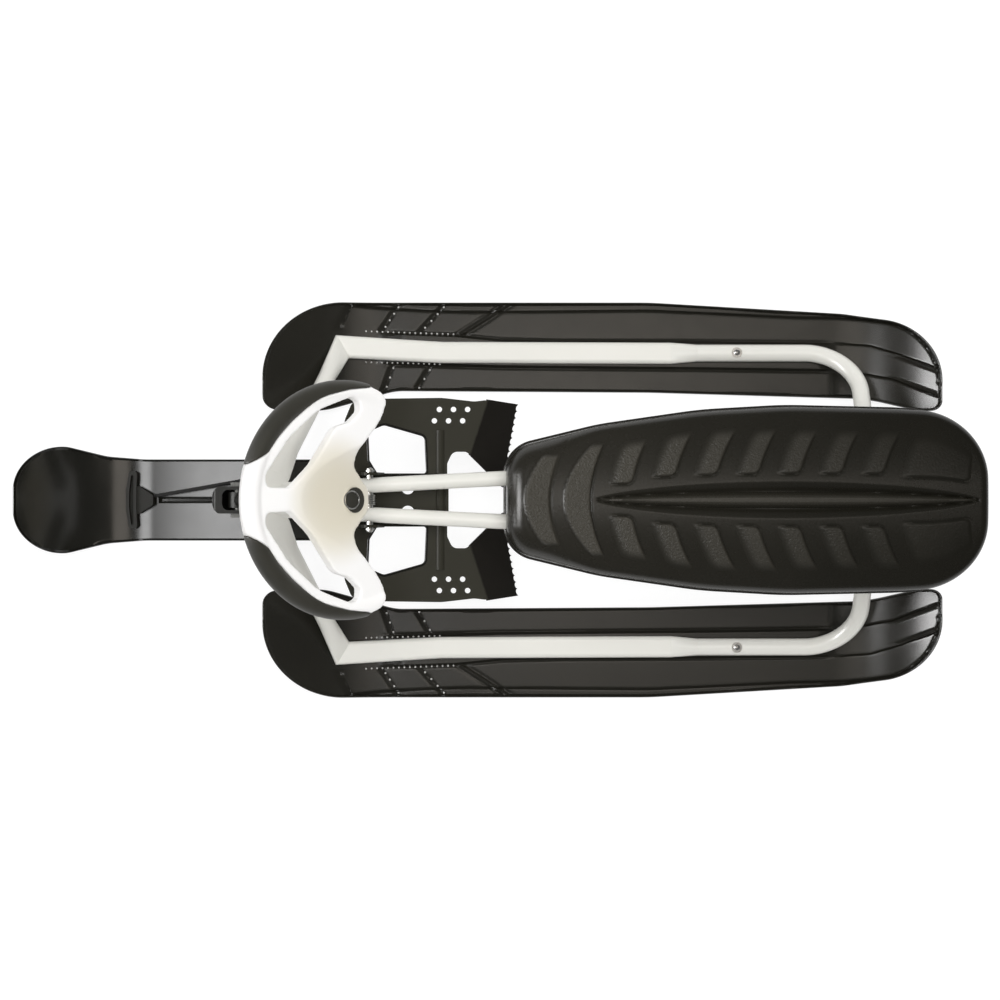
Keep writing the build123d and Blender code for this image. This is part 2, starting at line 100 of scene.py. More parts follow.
class Finish:
    """A new material: its object coordinates, its shader and what is linked to it."""

    def __init__(self, name, **constants):
        self.material = bpy.data.materials.new(name)
        self.material.use_nodes = True
        self.shader = self.material.node_tree.nodes["Principled BSDF"]
        self.place = Shade(self.material.node_tree).node("TexCoord", output="Object")
        for socket, value in constants.items():
            self.shader.inputs[socket.replace("_", " ")].default_value = value

    def noise(self, scale, detail=2.0, rough=0.5):
        """Cloudy pattern from 0 to 1 over the piece, in patches of about 1 / scale metres."""
        sockets = {"Vector": self.place, "Scale": scale, "Detail": detail, "Roughness": rough}
        return self.place.node("TexNoise", None, sockets)

    def axis(self, number):
        """One of the piece's own coordinates, in metres."""
        return self.place.node("SeparateXYZ", None, {"Vector": self.place}, number)

    def attribute(self, name):
        """A value that the mesh carries at its points."""
        return self.place.node("Attribute", {"attribute_name": name}, output="Fac")

    def link(self, socket, value):
        """Feeds one of the shader's sockets."""
        self.material.node_tree.links.new(value.socket, self.shader.inputs[socket])


def coat(mesh, finish):
    """Gives a mesh a finish in place of what it has."""
    mesh.materials.clear()
    mesh.materials.append(finish.material)


def dress(finish, *names):
    """Gives these CAD nodes a finish."""
    for name in names:
        coat(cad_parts[name].data, finish)


enamel = Finish("ivory enamel", Coat_Weight=0.2, Coat_Roughness=0.15)
enamel.link("Base Color", enamel.noise(9, 3).between((0.73, 0.72, 0.665), (0.78, 0.77, 0.72)))
enamel.link("Roughness", enamel.noise(60) * 0.12 + 0.3)
enamel.link("Normal", enamel.noise(700).bump(0.04, 0.0004))
dress(
    enamel, "head_tube", "side_tube_left", "side_tube_right", "rear_arch", "seat_tube_left",
    "seat_tube_right", "steering_column")


# Fasteners of the frame
# Zinc plated screws with washers hold the rails to the skis, and a domed nut closes each end of the brake's
# pivot rod. All are bought parts, pressed or turned.
class Jig:
    """A Geometry Nodes tree that makes small parts on a base mesh. Its sizes are named inputs."""

    def __init__(self, name, **sizes):
        self.tree = bpy.data.node_groups.new(name, "GeometryNodeTree")
        sockets = self.tree.interface
        sockets.new_socket("Base", in_out="INPUT", socket_type="NodeSocketGeometry")
        self.keys = {}
        for size, kind in {**sizes, "Material": "Material"}.items():
            label = size.replace("_", " ")
            made = sockets.new_socket(label, in_out="INPUT", socket_type="NodeSocket" + kind)
            self.keys[size] = made.identifier
        sockets.new_socket("Parts", in_out="OUTPUT", socket_type="NodeSocketGeometry")
        self.given = self.tree.nodes.new("NodeGroupInput").outputs
        self.result = self.tree.nodes.new("NodeGroupOutput").inputs

    def node(self, kind, settings=None, sockets=None, output=0):
        """A new node of this type, with its settings and then the values or links of its sockets."""
        made = self.tree.nodes.new(kind)
        for name, value in (settings or {}).items():
            setattr(made, name, value)
        for name, value in (sockets or {}).items():
            for source in value if isinstance(value, list) else [value]:
                if isinstance(source, bpy.types.NodeSocket):
                    self.tree.links.new(source, made.inputs[name])
                else:
                    made.inputs[name].default_value = source
        return made.outputs[output]

    def math(self, operation, first, second):
        """A Math node on two values."""
        return self.node("ShaderNodeMath", {"operation": operation}, {0: first, 1: second})

    def lifted(self, geometry, height, scale=(1, 1, 1)):
        """Geometry scaled, then raised along its own Z."""
        offset = self.node("ShaderNodeCombineXYZ", None, {"Z": height})
        sockets = {"Geometry": geometry, "Translation": offset, "Scale": scale}
        return self.node("GeometryNodeTransform", None, sockets)

    def on_spots(self, part):
        """The part on each point of the base, with its Z along the point's facing."""
        facing = self.node(
            "GeometryNodeInputNamedAttribute", {"data_type": "FLOAT_VECTOR"}, {"Name": "facing"})
        turn = self.node("FunctionNodeAlignRotationToVector", {"axis": "Z"}, {"Vector": facing})
        sockets = {"Points": self.given["Base"], "Instance": part, "Rotation": turn}
        return self.node("GeometryNodeInstanceOnPoints", None, sockets)

    def close(self, geometry):
        """Ends the tree with plain geometry in the given material."""
        real = self.node("GeometryNodeRealizeInstances", None, {"Geometry": geometry})
        sockets = {"Geometry": real, "Material": self.given["Material"]}
        self.tree.links.new(self.node("GeometryNodeSetMaterial", None, sockets), self.result["Parts"])

    def make(self, name, base, finish, **sizes):
        """Runs the tree on a base mesh and keeps what it makes as a plain mesh."""
        piece = placed(name, base)
        modifier = piece.modifiers.new("jig", "NODES")
        modifier.node_group = self.tree
        for size, value in {**sizes, "Material": finish.material}.items():
            modifier[self.keys[size]] = value
        return made_plain(piece)


def placed(name, data):
    """A new object in the scene."""
    piece = bpy.data.objects.new(name, data)
    bpy.context.collection.objects.link(piece)
    return piece


def made_plain(piece):
    """Turns what a piece's modifiers show into its own mesh and removes them."""
    shown = piece.evaluated_get(bpy.context.evaluated_depsgraph_get())
    mesh = bpy.data.meshes.new_from_object(shown)
    piece.modifiers.clear()
    piece.data = mesh
    return piece


def spots(places, facings):
    """Base mesh of single points, each with the way that its part faces."""
    mesh = bpy.data.meshes.new("spots")
    mesh.from_pydata([tuple(place) for place in places], [], [])
    facing = mesh.attributes.new("facing", "FLOAT_VECTOR", "POINT")
    facing.data.foreach_set("vector", np.array(facings, dtype=float).ravel())
    return mesh


def settle(piece, body, slot, *nodes):
    """Hangs a piece on the empty of the body that it moves with, and hides the CAD nodes that it stands for.
    Its slot is not used.
    """
    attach(piece, body)
    if nodes:
        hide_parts(*nodes)


zinc = Finish("zinc plated steel", Metallic=1.0)
zinc.link("Base Color", zinc.noise(200, 3).between((0.46, 0.46, 0.45), (0.64, 0.64, 0.62)))
zinc.link("Roughness", zinc.noise(300) * 0.15 + 0.22)
dress(zinc, "brake_pivot_rod")

fastener = Jig(
    "fastener", Sides="Int", Washer_radius="Float", Washer_thickness="Float", Head_radius="Float",
    Head_height="Float")
washer = fastener.node("GeometryNodeMeshCylinder", None, {
    "Vertices": 28, "Radius": fastener.given["Washer radius"], "Depth": fastener.given["Washer thickness"]})
head = fastener.node("GeometryNodeMeshCylinder", None, {
    "Vertices": fastener.given["Sides"], "Radius": fastener.given["Head radius"],
    "Depth": fastener.given["Head height"]})
# The dome on the head: its width as a share of the head's, and how flat it is
dome_wide, dome_flat = 0.84, 0.45
dome_radius = fastener.math("MULTIPLY", fastener.given["Head radius"], dome_wide)
dome = fastener.node(
    "GeometryNodeMeshUVSphere", None, {"Segments": 24, "Rings": 12, "Radius": dome_radius})
head_middle = fastener.math("MULTIPLY", fastener.given["Head height"], 0.5)
fastener.close(fastener.on_spots(fastener.node("GeometryNodeJoinGeometry", None, {"Geometry": [
    washer, fastener.lifted(head, head_middle),
    fastener.lifted(dome, fastener.given["Head height"], (1, 1, dome_flat))]})))

screw_x, screw_y = -0.306, 0.1824
tube_top = 0.031
rail_spots = spots([(screw_x, screw_y, tube_top), (screw_x, -screw_y, tube_top)], [(0, 0, 1), (0, 0, 1)])
rail_screws = fastener.make(
    "rail_screws", rail_spots, zinc, Sides=28, Washer_radius=6.5 * mm, Washer_thickness=1.6 * mm,
    Head_radius=4.6 * mm, Head_height=2.4 * mm)
settle(rail_screws, "frame", "zinc_steel")

rod_low, rod_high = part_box("brake_pivot_rod")
rod_x, rod_z = (rod_low[0] + rod_high[0]) / 2, (rod_low[2] + rod_high[2]) / 2
nut_y = 34.6 * mm
rod_spots = spots([(rod_x, nut_y, rod_z), (rod_x, -nut_y, rod_z)], [(0, 1, 0), (0, -1, 0)])
rod_nuts = fastener.make(
    "rod_nuts", rod_spots, zinc, Sides=6, Washer_radius=5.4 * mm, Washer_thickness=1 * mm,
    Head_radius=4.2 * mm, Head_height=2.4 * mm)
settle(rod_nuts, "frame", "zinc_steel")

# Rear skis
# Thin runners moulded in black plastic: a raised rim with a border strip, a plateau under the rail whose
# edges run on to the tail, slanting steps at the front and rows of small pips. Screwed up into the rails.


def rounded_path(rows, steps):
    """Points along straight lines whose corners are rounded, with this many steps round each corner."""
    path = [np.array(rows[0][:2], dtype=float)]
    for (x0, y0, _), (x1, y1, radius), (x2, y2, _) in zip(rows, rows[1:], rows[2:]):
        here = np.array((x1, y1), dtype=float)
        back = np.array((x0, y0)) - here
        ahead = np.array((x2, y2)) - here
        back, ahead = back / np.linalg.norm(back), ahead / np.linalg.norm(ahead)
        half = math.acos(np.clip(back @ ahead, -1, 1)) / 2
        middle = here + (back + ahead) / np.linalg.norm(back + ahead) * radius / math.sin(half)
        start, stop = here + back * radius / math.tan(half), here + ahead * radius / math.tan(half)
        angles = [math.atan2(*(point - middle)[::-1]) for point in (start, stop)]
        turn = (angles[1] - angles[0] + math.pi) % (2 * math.pi) - math.pi
        for share in np.linspace(0, 1, steps):
            angle = angles[0] + turn * share
            path.append(middle + radius * np.array((math.cos(angle), math.sin(angle))))
    path.append(np.array(rows[-1][:2], dtype=float))
    return np.array(path)


def smooth(low, high, value):
    """0 at low, 1 at high and an S-curve between."""
    share = np.clip((value - low) / (high - low), 0, 1)
    return share * share * (3 - 2 * share)


def bump_line(distance, width):
    """Soft line: 1 on it and 0 beyond about twice its width."""
    return np.exp(-(distance / width) ** 2)


def eased(low, high, cells):
    """Rows of places from low to high that lie closer together near both ends."""
    share = (1 - np.cos(np.linspace(0, math.pi, cells + 1))) / 2
    return low[:, None] + (high - low)[:, None] * share


def quarter(start, step, cells):
    """Places over a quarter round from start, closer together near it."""
    return start + step * (1 - np.cos(np.linspace(0, math.pi / 2, cells + 1)))


def to_edge(x, y, path):
    """Distance of each point of a grid from a path of straight pieces."""
    step = np.diff(path, axis=0)
    length = np.maximum((step ** 2).sum(axis=1), 1e-9)
    rows = []
    for u, v in zip(x, y):
        off = np.stack((u, v), axis=-1)[:, None] - path[:-1]
        share = np.clip((off * step).sum(axis=-1) / length, 0, 1)
        rows.append(np.linalg.norm(off - share[..., None] * step, axis=-1).min(axis=1))
    return np.array(rows)


def turned_up(x, over, front, rear):
    """Height of a surface this far over a sole with turned-up ends, each given by its start x and radius."""
    (front_x, front_r), (rear_x, rear_r) = front, rear
    ahead, behind = np.clip(x - front_x, 0, None), np.clip(rear_x - x, 0, None)
    up_front = front_r - np.sqrt((front_r - over) ** 2 - ahead ** 2)
    up_rear = rear_r - np.sqrt((rear_r - over) ** 2 - behind ** 2)
    return np.where(x > front_x, up_front, np.where(x < rear_x, up_rear, over))


def rimmed(edge, rim, floor, radius, foot):
    """Height over the sole of a rim with a rounded edge, which falls to a floor over its foot."""
    rounding = radius * np.clip(1 - edge / radius, 0, 1) ** 2
    return rim - rounding - (rim - floor) * smooth(*foot, edge)


def closed_mesh(name, points, faces, sharp):
    """Mesh in metres from points in millimetres, with faces turned outwards and edges sharp past an angle."""
    mesh = bpy.data.meshes.new(name)
    mesh.from_pydata([tuple(point) for point in np.array(points) * mm], [], faces)
    shell = bmesh.new()
    shell.from_mesh(mesh)
    bmesh.ops.recalc_face_normals(shell, faces=shell.faces)
    shell.to_mesh(mesh)
    shell.free()
    mesh.shade_smooth()
    mesh.set_sharp_from_angle(angle=math.radians(sharp))
    return mesh


def runner(name, x, y, top, sole):
    """Closed runner: a grid of tops over stations and lanes, on a sole that is level across."""
    count, wide = y.shape
    points = np.column_stack((np.repeat(x, wide), y.ravel(), top.ravel()))
    under = np.column_stack((np.repeat(x, 2), y[:, (0, -1)].ravel(), np.repeat(sole, 2)))
    faces = []
    for i in range(count - 1):
        a, b = i * wide, count * wide + 2 * i
        faces += [(a + j, a + j + 1, a + j + wide + 1, a + j + wide) for j in range(wide - 1)]
        faces.append((b, b + 2, b + 3, b + 1))
        faces.append((a, a + wide, b + 2, b))
        faces.append((a + wide - 1, b + 1, b + 3, a + 2 * wide - 1))
    for i in (0, count - 1):
        faces.append([i * wide + j for j in range(wide)] + [count * wide + 2 * i + 1, count * wide + 2 * i])
    return closed_mesh(name, np.concatenate((points, under)), faces, 40)


# Outer and inner edge of the left ski: x, y and corner radius, in millimetres
ski_front, ski_rear, ski_front_r, ski_rear_r = 278, -557, 96, 78
ski_outer = rounded_path(
    [(ski_front, 130, 0), (ski_front, 246, ski_front_r), (-200, 246, 500), (-440, 232, 150),
     (ski_rear, 214, ski_rear_r), (ski_rear, 124, 0)], 40)[1:-1]
ski_inner = rounded_path(
    [(ski_front, 140, 0), (ski_front, 111, 17), (205, 111, 80), (118, 136, 80), (-200, 134, 900),
     (-470, 126, 200), (-532, 110, 50), (ski_rear, 110, 12), (ski_rear, 130, 0)], 40)[1:-1]
ski_turns = dict(front=(130, 223), rear=(-430, 225))
sole_t, rim_high, border_high, deck_high = 4.5, 10, 5.2, 9.9
# Width of the border strip along the outer edge: x and width
border_x = (-557, -470, -437, -375, 25, 80, 117, 155, 180)
border_wide = (4.3, 3.4, 5.5, 8, 11.8, 10, 8, 5, 2.5)
# Edges of the plateau, which run on over the tail: x and y
deck_outer = np.array([
    (-562, 158), (-543, 166.5), (-512, 179.6), (-475, 192), (-425, 195.9), (-262, 197.7), (-88, 198.3),
    (-13, 200.2), (43, 206), (160, 210)])
deck_inner = np.array([
    (-562, 123), (-531, 137), (-500, 150.3), (-472, 156), (-431, 160.3), (-262, 162.8), (-13, 165.3),
    (62, 167.2), (160, 170)])
# Grid over the ski, finer as far back as the slanting rib
fine_until = -24
stations = np.concatenate((
    quarter(ski_front, -ski_front_r, 40), np.linspace(ski_front - ski_front_r, fine_until, 149)[1:],
    np.linspace(fine_until, ski_rear + ski_rear_r, 131)[1:], quarter(ski_rear, ski_rear_r, 40)[-2::-1]))
outer_y = np.interp(stations, ski_outer[::-1, 0], ski_outer[::-1, 1])
inner_y = np.interp(stations, ski_inner[::-1, 0], ski_inner[::-1, 1])
border = np.interp(stations, border_x, border_wide)
rail_out = np.interp(stations, deck_outer[:, 0], deck_outer[:, 1])
rail_out = np.clip(rail_out, inner_y + 0.4 * (outer_y - inner_y), outer_y - border - 2)
rail_in = np.interp(stations, deck_inner[:, 0], deck_inner[:, 1])
rail_in = np.clip(rail_in, inner_y + border + 1, rail_out - 3)
lanes = np.concatenate((
    eased(inner_y, inner_y + border, 12), eased(inner_y + border, rail_in, 22)[:, 1:],
    eased(rail_in, rail_out, 22)[:, 1:], eased(rail_out, outer_y - border, 22)[:, 1:],
    eased(outer_y - border, outer_y, 12)[:, 1:]), axis=1)
across_x = np.repeat(stations[:, None], lanes.shape[1], axis=1)
edge = to_edge(across_x, lanes, np.concatenate((ski_outer, ski_inner[::-1], ski_outer[:1])))
past_border = to_edge(across_x, lanes, ski_outer) - border[:, None]
off_inner, off_outer = lanes - rail_in[:, None], lanes - rail_out[:, None]
in_deck = np.minimum(off_inner, -off_outer)
# Heights over the sole. A pair in brackets is where a form is gone and where it stands in full.
rim_fade, rim_least, rim_r, rim_foot = (215, 165), 0.25, 1.4, (1.8, 3.4)
rim = sole_t + (rim_high - sole_t) * (rim_least + (1 - rim_least) * smooth(*rim_fade, across_x))
over = rimmed(edge, rim, border_high, rim_r, rim_foot)
over -= (border_high - sole_t) * smooth(-1, 1, past_border)
# Groove along the border strip
strip_deep, strip_wide, strip_fade, strip_foot = 1.8, 0.9, (190, 150), (1.6, 3)
strip = bump_line(past_border, strip_wide) * smooth(*strip_fade, across_x) * smooth(*strip_foot, edge)
over -= strip_deep * strip
# Plateau, with a groove at its foot
deck_front, deck_rear, deck_wall = (140, 104), (-432, -412), (0, 3)
foot_deep, foot_off, foot_wide = 0.9, 1, 1.1
deck = smooth(*deck_front, across_x) * smooth(*deck_rear, across_x)
foot = foot_deep * bump_line(in_deck + foot_off, foot_wide)
over += deck * ((deck_high - sole_t) * smooth(*deck_wall, in_deck) - foot)
# Lines where the plateau's edges run on: rise, place inside the edge, width, share of the tail that has it
tail = smooth(-424, -446, across_x) * smooth(3, 6, edge)
tail_end = smooth(-490, -520, across_x)
for rise, place, width, stretch in ((-1.9, 0, 0.85, 1), (1.2, 2, 0.8, tail_end), (-1.5, 3.8, 0.7, tail_end)):
    over += rise * tail * stretch * bump_line(in_deck - place, width)
# Dip beside the plateau's rear end
panel = smooth(2.6, 5, edge)
dip_deep, dip_front, dip_rear, dip_side = 2.4, (-424, -436), (-470, -450), (1, -2)
dip = smooth(*dip_front, across_x) * smooth(*dip_rear, across_x) * smooth(*dip_side, off_inner)
over -= dip_deep * dip * panel
# Slanting steps at the front: x and y at the rail, x and y at the edge, lane of the ski (outer 1, inner 0)
ski_steps = (
    (131.7, 213.3, 111.8, 243.3, 1), (83.1, 212.1, 54.4, 243.3, 1), (186.6, 210.8, 170.4, 244.5, 1),
    (119.2, 167.2, 129.2, 138.5, 0), (73.1, 164.7, 89.3, 137.2, 0))
step_deep, step_long, step_lip, step_side = 2.4, 8.5, (-0.7, 0.7), (0.5, 3)
for x0, y0, x1, y1, is_outer in ski_steps:
    ahead = across_x - x0 - (lanes - y0) * (x1 - x0) / (y1 - y0)
    ramp = np.clip(1 - ahead / step_long, 0, 1) * smooth(*step_lip, ahead)
    over -= step_deep * ramp * panel * smooth(*step_side, off_outer if is_outer else -off_inner)
# Slanting rib behind them, with a gutter on both sides
rib_x0, rib_y0, rib_x1, rib_y1 = 36.9, 206, -19.2, 242
rib_rise, rib_wide = 1.7, 1.5
gutter_deep, gutter_off, gutter_wide = 1.0, 3.8, 1.3
off_rib = across_x - rib_x0 - (lanes - rib_y0) * (rib_x1 - rib_x0) / (rib_y1 - rib_y0)
off_rib *= math.cos(math.atan2(rib_x0 - rib_x1, rib_y1 - rib_y0))
gutter = gutter_deep * bump_line(np.abs(off_rib) - gutter_off, gutter_wide)
over += panel * smooth(*deck_wall, off_outer) * (rib_rise * bump_line(off_rib, rib_wide) - gutter)

ski_plastic = Finish("black ski plastic", Specular_IOR_Level=0.5)
ski_plastic.link(
    "Base Color", ski_plastic.noise(14, 3).between((0.011, 0.0102, 0.0075), (0.017, 0.0158, 0.012)))
ski_plastic.link("Roughness", ski_plastic.noise(40, 3) * 0.08 + 0.2)
ski_plastic.link("Normal", ski_plastic.noise(900).bump(0.03, 0.0003))
ski_soles = turned_up(stations, 0, **ski_turns)
ski_tops = turned_up(across_x, over, **ski_turns)
for word, side in (("left", 1), ("right", -1)):
    ski_mesh = runner("ski_moulding_" + word, stations, lanes * side, ski_tops, ski_soles)
    coat(ski_mesh, ski_plastic)
    ski_moulding = placed("ski_moulding_" + word, ski_mesh)
    settle(ski_moulding, "frame", "ski_black", "rear_ski_" + word)


def threads(paths):
    """Base mesh of lines, from lists of points in millimetres. A list that ends at its start is a loop."""
    mesh = bpy.data.meshes.new("threads")
    points, edges = [], []
    for path in paths:
        first, steps = len(points), len(path) - 1
        is_loop = np.allclose(path[0], path[-1])
        edges += [(first + i, first + i + 1) for i in range(steps)]
        if is_loop:
            edges[-1] = (first + steps - 1, first)
        points += [tuple(np.array(point) * mm) for point in (path[:-1] if is_loop else path)]
    mesh.from_pydata(points, edges, [])
    return mesh


pip = Jig("pip rows", Pitch="Float", Pip_radius="Float")
row = pip.node("GeometryNodeMeshToCurve", None, {"Mesh": pip.given["Base"]})
stops = pip.node(
    "GeometryNodeResampleCurve", {"mode": "LENGTH"}, {"Curve": row, "Length": pip.given["Pitch"]})
bead = pip.node("GeometryNodeMeshIcoSphere", None, {"Radius": pip.given["Pip radius"], "Subdivisions": 2})
pip.close(pip.node("GeometryNodeInstanceOnPoints", None, {"Points": stops, "Instance": bead}))

# Painted highlight: the pips' tops are painted pale in patches, standing in for glints of light on small
# glossy bumps
pip_glint_paint = Finish("painted pip glints", Specular_IOR_Level=0.5)
pip_glint_paint.link("Base Color", pip_glint_paint.noise(160, 2).between((0.3, 0.29, 0.27), (0.95, 0.94, 0.92)))
pip_glint_paint.link("Roughness", pip_glint_paint.noise(300) * 0.1 + 0.25)
# Rows along the plateau's edges: x at both ends, edge, way past it, rise on to the plateau. All steps but the
# foremost have a row too.
edge_rows = ((154, 45, deck_outer, 0.7, 0), (154, 62, deck_inner, 2.2, 4.5))
rail_rows, step_rows = [], []
for side in (1, -1):
    for x_start, x_stop, edge_line, past, rise in edge_rows:
        xs = np.linspace(x_start, x_stop, 24)
        ys = np.interp(xs, edge_line[:, 0], edge_line[:, 1]) + past
        heights = turned_up(xs, sole_t + rise * smooth(*deck_front, xs), **ski_turns)
        rail_rows.append(np.column_stack((xs, ys * side, heights)))
    for x0, y0, x1, y1, _ in ski_steps[:2] + ski_steps[3:]:
        xs, ys = np.linspace(x0, x1, 12)[1:-1], np.linspace(y0, y1, 12)[1:-1]
        step_rows.append(np.column_stack((xs, ys * side, turned_up(xs, sole_t, **ski_turns))))
rail_pips = pip.make("rail_pips", threads(rail_rows), pip_glint_paint, Pitch=6.5 * mm, Pip_radius=1.15 * mm)
settle(rail_pips, "frame", "ski_black")
step_pips = pip.make("step_pips", threads(step_rows), pip_glint_paint, Pitch=8.8 * mm, Pip_radius=1.3 * mm)
settle(step_pips, "frame", "ski_black")

# Welds of the seat tubes
# The two tubes under the seat are welded to the head tube. A row of small beads goes round the end of each
# and is sprayed over with the frame's enamel.


def ring(middle, along, radius):
    """Closed loop of points round a line, in millimetres."""
    along = np.array(along, dtype=float)
    along /= np.linalg.norm(along)
    side = np.cross(along, (0, 0, 1))
    side /= np.linalg.norm(side)
    rise = np.cross(side, along)
    turns = np.linspace(0, 2 * math.pi, 33)
    return np.array(middle) + radius * (np.outer(np.cos(turns), side) + np.outer(np.sin(turns), rise))


# Front end of the left tube and the way it runs, in millimetres
weld_x, weld_y, weld_z, weld_r = 231, 12.8, 139.6, 9.4
tube_run_x, tube_run_y, tube_run_z = -261, 13.6, 9
weld_rings = [
    ring((weld_x, weld_y * side, weld_z), (tube_run_x, tube_run_y * side, tube_run_z), weld_r)
    for side in (1, -1)]
weld_beads = pip.make("weld_beads", threads(weld_rings), enamel, Pitch=2.6 * mm, Pip_radius=1.7 * mm)
settle(weld_beads, "frame", "frame_white")

# Seat
# Hard saddle blow-moulded in a brown-black plastic. Its crowned top has two crescent pads, pairs of slanting
# pads that stand proud at their rear edges, a long hollow with a ridge, and a lip round the skirt.

# Left half of the outline: x, y and corner radius, in millimetres
lip_path = rounded_path(
    [(-17, 0, 0), (-17, 63, 42), (-130, 90.5, 300), (-250, 107.8, 500), (-350, 113.5, 500),
     (-480, 110.5, 150), (-582, 104, 84), (-582, 0, 0)], 30)
lip_wide = 4


def shifted(path, step):
    """A path moved sideways to its left."""
    along = np.gradient(path, axis=0)
    along /= np.linalg.norm(along, axis=1)[:, None]
    return path + np.column_stack((-along[:, 1], along[:, 0])) * step


wall_path = shifted(lip_path, lip_wide)
wall_path[0], wall_path[-1] = (wall_path[1][0], 0), (wall_path[-2][0], 0)
wall_front, wall_rear = wall_path[1][0], wall_path[-2][0]
widths = wall_path[1:-1][::-1]

# Grid over the top: stations along the middle line, and cells across that crowd at the rounded edge
pad_count, pad_pitch, pad_long, pad_cells = 7, 48, 28.8, 30
first_pad = -136
last_pad = first_pad - pad_count * pad_pitch
front_r, rear_r = 38, 80
front_turn = quarter(wall_front, -front_r, 26)
rear_turn = quarter(wall_rear, rear_r, 50)[::-1]
stations = np.concatenate((
    front_turn, np.linspace(front_turn[-1], first_pad, 49)[1:],
    np.linspace(first_pad, last_pad, pad_count * pad_cells + 1)[1:],
    np.linspace(last_pad, rear_turn[0], 17)[1:], rear_turn[1:]))
cell, even_cells = 0.0145, 60
crowded = 1 - (1 - even_cells * cell) * (1 - np.sin(np.linspace(0, math.pi / 2, 13)))
half_cells = np.concatenate((np.arange(even_cells) * cell, crowded))
across = np.concatenate((-half_cells[:0:-1], half_cells))
# The grid is swept back towards the sides, as the pads are
sweep = np.interp(-stations, (21, 72, 119, 184, 260, 460, 578), (0, 25, 29, 35, 44, 44, 0))
middle_x = np.repeat(stations[:, None], len(across), axis=1)
cross = np.repeat(across[None, :], len(stations), axis=0)
x = middle_x - sweep[:, None] * cross ** 2
half_width = np.interp(x, widths[:, 0], widths[:, 1])
y = cross * half_width
outline = np.concatenate((wall_path, wall_path[::-1] * (1, -1)))
edge = to_edge(x, y, outline)
# Top: a crown that tilts down towards the front, and an edge that is rounder there
crown_r, top_x, top_z, tilt = 250, -300, 224, math.radians(2)
z = top_z - (x - top_x) * math.tan(tilt) - (crown_r - np.sqrt(crown_r ** 2 - y ** 2))
side_edge_r, front_edge_r = 10, 24
edge_r = side_edge_r + (front_edge_r - side_edge_r) * smooth(-130, -50, x)
inset = np.clip(edge_r - edge, 0, edge_r)
z -= edge_r - np.sqrt(edge_r ** 2 - inset ** 2)

# Crescents: front x, rear x, sweep of the tips, half width
pad, relief = np.zeros_like(x), np.zeros_like(x)
step_rise, step_edge = 1.4, (-0.8, 0.8)
groove_deep, groove_wide, groove_off = 0.7, 1.1, 1.4
for front_x, rear_x, swept, half in ((-40.8, -70, 20, 50), (-85.9, -117, 31, 62.5)):
    behind = front_x - swept * (y / half) ** 2 - x
    ahead = middle_x - rear_x
    mask = smooth(*step_edge, ahead) * smooth(0, 4, behind) * smooth(half + 4, half - 3, np.abs(y))
    groove = bump_line(ahead + groove_off, groove_wide) * smooth(2, 12, behind)
    relief += step_rise * mask - groove_deep * groove
    pad = np.maximum(pad, mask)
# Slanting pads: inner edge and outer edge in cells from the middle line. The last is long and low.
pad_edges = ((15, 53), (20, 55), (20, 55), (20, 54), (20, 53), (20, 53), (20, 53), (18, 50))
last_long, last_rise = 82, 0.6
corner_r = 7
for k, (inner_cell, outer_cell) in enumerate(pad_edges):
    front_x = first_pad - k * pad_pitch
    long, rise = (pad_long, step_rise) if k < pad_count else (last_long, last_rise)
    ahead = middle_x - (front_x - long)
    inside = (np.abs(cross) - inner_cell * cell) * half_width
    corner = (ahead < corner_r) & (inside < corner_r)
    depth = np.where(
        corner, corner_r - np.hypot(corner_r - ahead, corner_r - inside), np.minimum(ahead, inside))
    from_outer = (outer_cell * cell - np.abs(cross)) * half_width
    rising = smooth(0, 16, front_x - middle_x) * smooth(0, 12, from_outer)
    mask = smooth(*step_edge, depth) * rising
    relief += rise * mask - groove_deep * bump_line(depth + groove_off, groove_wide) * rising
    pad = np.maximum(pad, mask)
# Hollow with its ridge. The walls and the ridge are shares of the half width.
hollow_front, hollow_rear, hollow_half, hollow_deep = -122, -568, 22, 8
wall_share, wall_power, ridge_sides, ridge_high = 0.55, 1.5, (0.5, 0.16), 1.08
from_middle = (x - (hollow_front + hollow_rear) / 2) / ((hollow_front - hollow_rear) / 2)
swell = np.clip(1 - from_middle ** 2, 0, 1)
hollow_wide = np.maximum(hollow_half * swell ** 0.7, 0.01)
share = np.abs(y) / hollow_wide
hollow_wall = np.clip((1 - share) / wall_share, 0, 1) ** wall_power
ridge = smooth(*ridge_sides, share)
hollow = hollow_wall * (1 - ridge_high * ridge)
relief -= hollow_deep * hollow * np.sqrt(swell)
z += relief * smooth(2, 10, edge)

# The grid's faces, then the loop of points round it and the way outwards at each
count, wide = x.shape
points = [np.column_stack((x.ravel(), y.ravel(), z.ravel()))]
faces = []
for i in range(count - 1):
    for j in range(wide - 1):
        a = i * wide + j
        faces.append((a, a + 1, a + wide + 1, a + wide))
top_loop = list(range(wide))
top_loop += [i * wide + wide - 1 for i in range(1, count)]
top_loop += [(count - 1) * wide + j for j in range(wide - 2, -1, -1)]
top_loop += [i * wide for i in range(count - 2, 0, -1)]
edge_points = points[0][top_loop]
along_edge = np.roll(edge_points, -1, axis=0) - np.roll(edge_points, 1, axis=0)
outward = np.column_stack((-along_edge[:, 1], along_edge[:, 0]))
outward /= np.linalg.norm(outward, axis=1)[:, None]
if (outward * (edge_points[:, :2] - points[0][:, :2].mean(axis=0))).sum() < 0:
    outward = -outward
skirt_z, under_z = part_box("seat")[0][2] / mm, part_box("seat_tube_left")[1][2] / mm
lip_z = skirt_z + 7
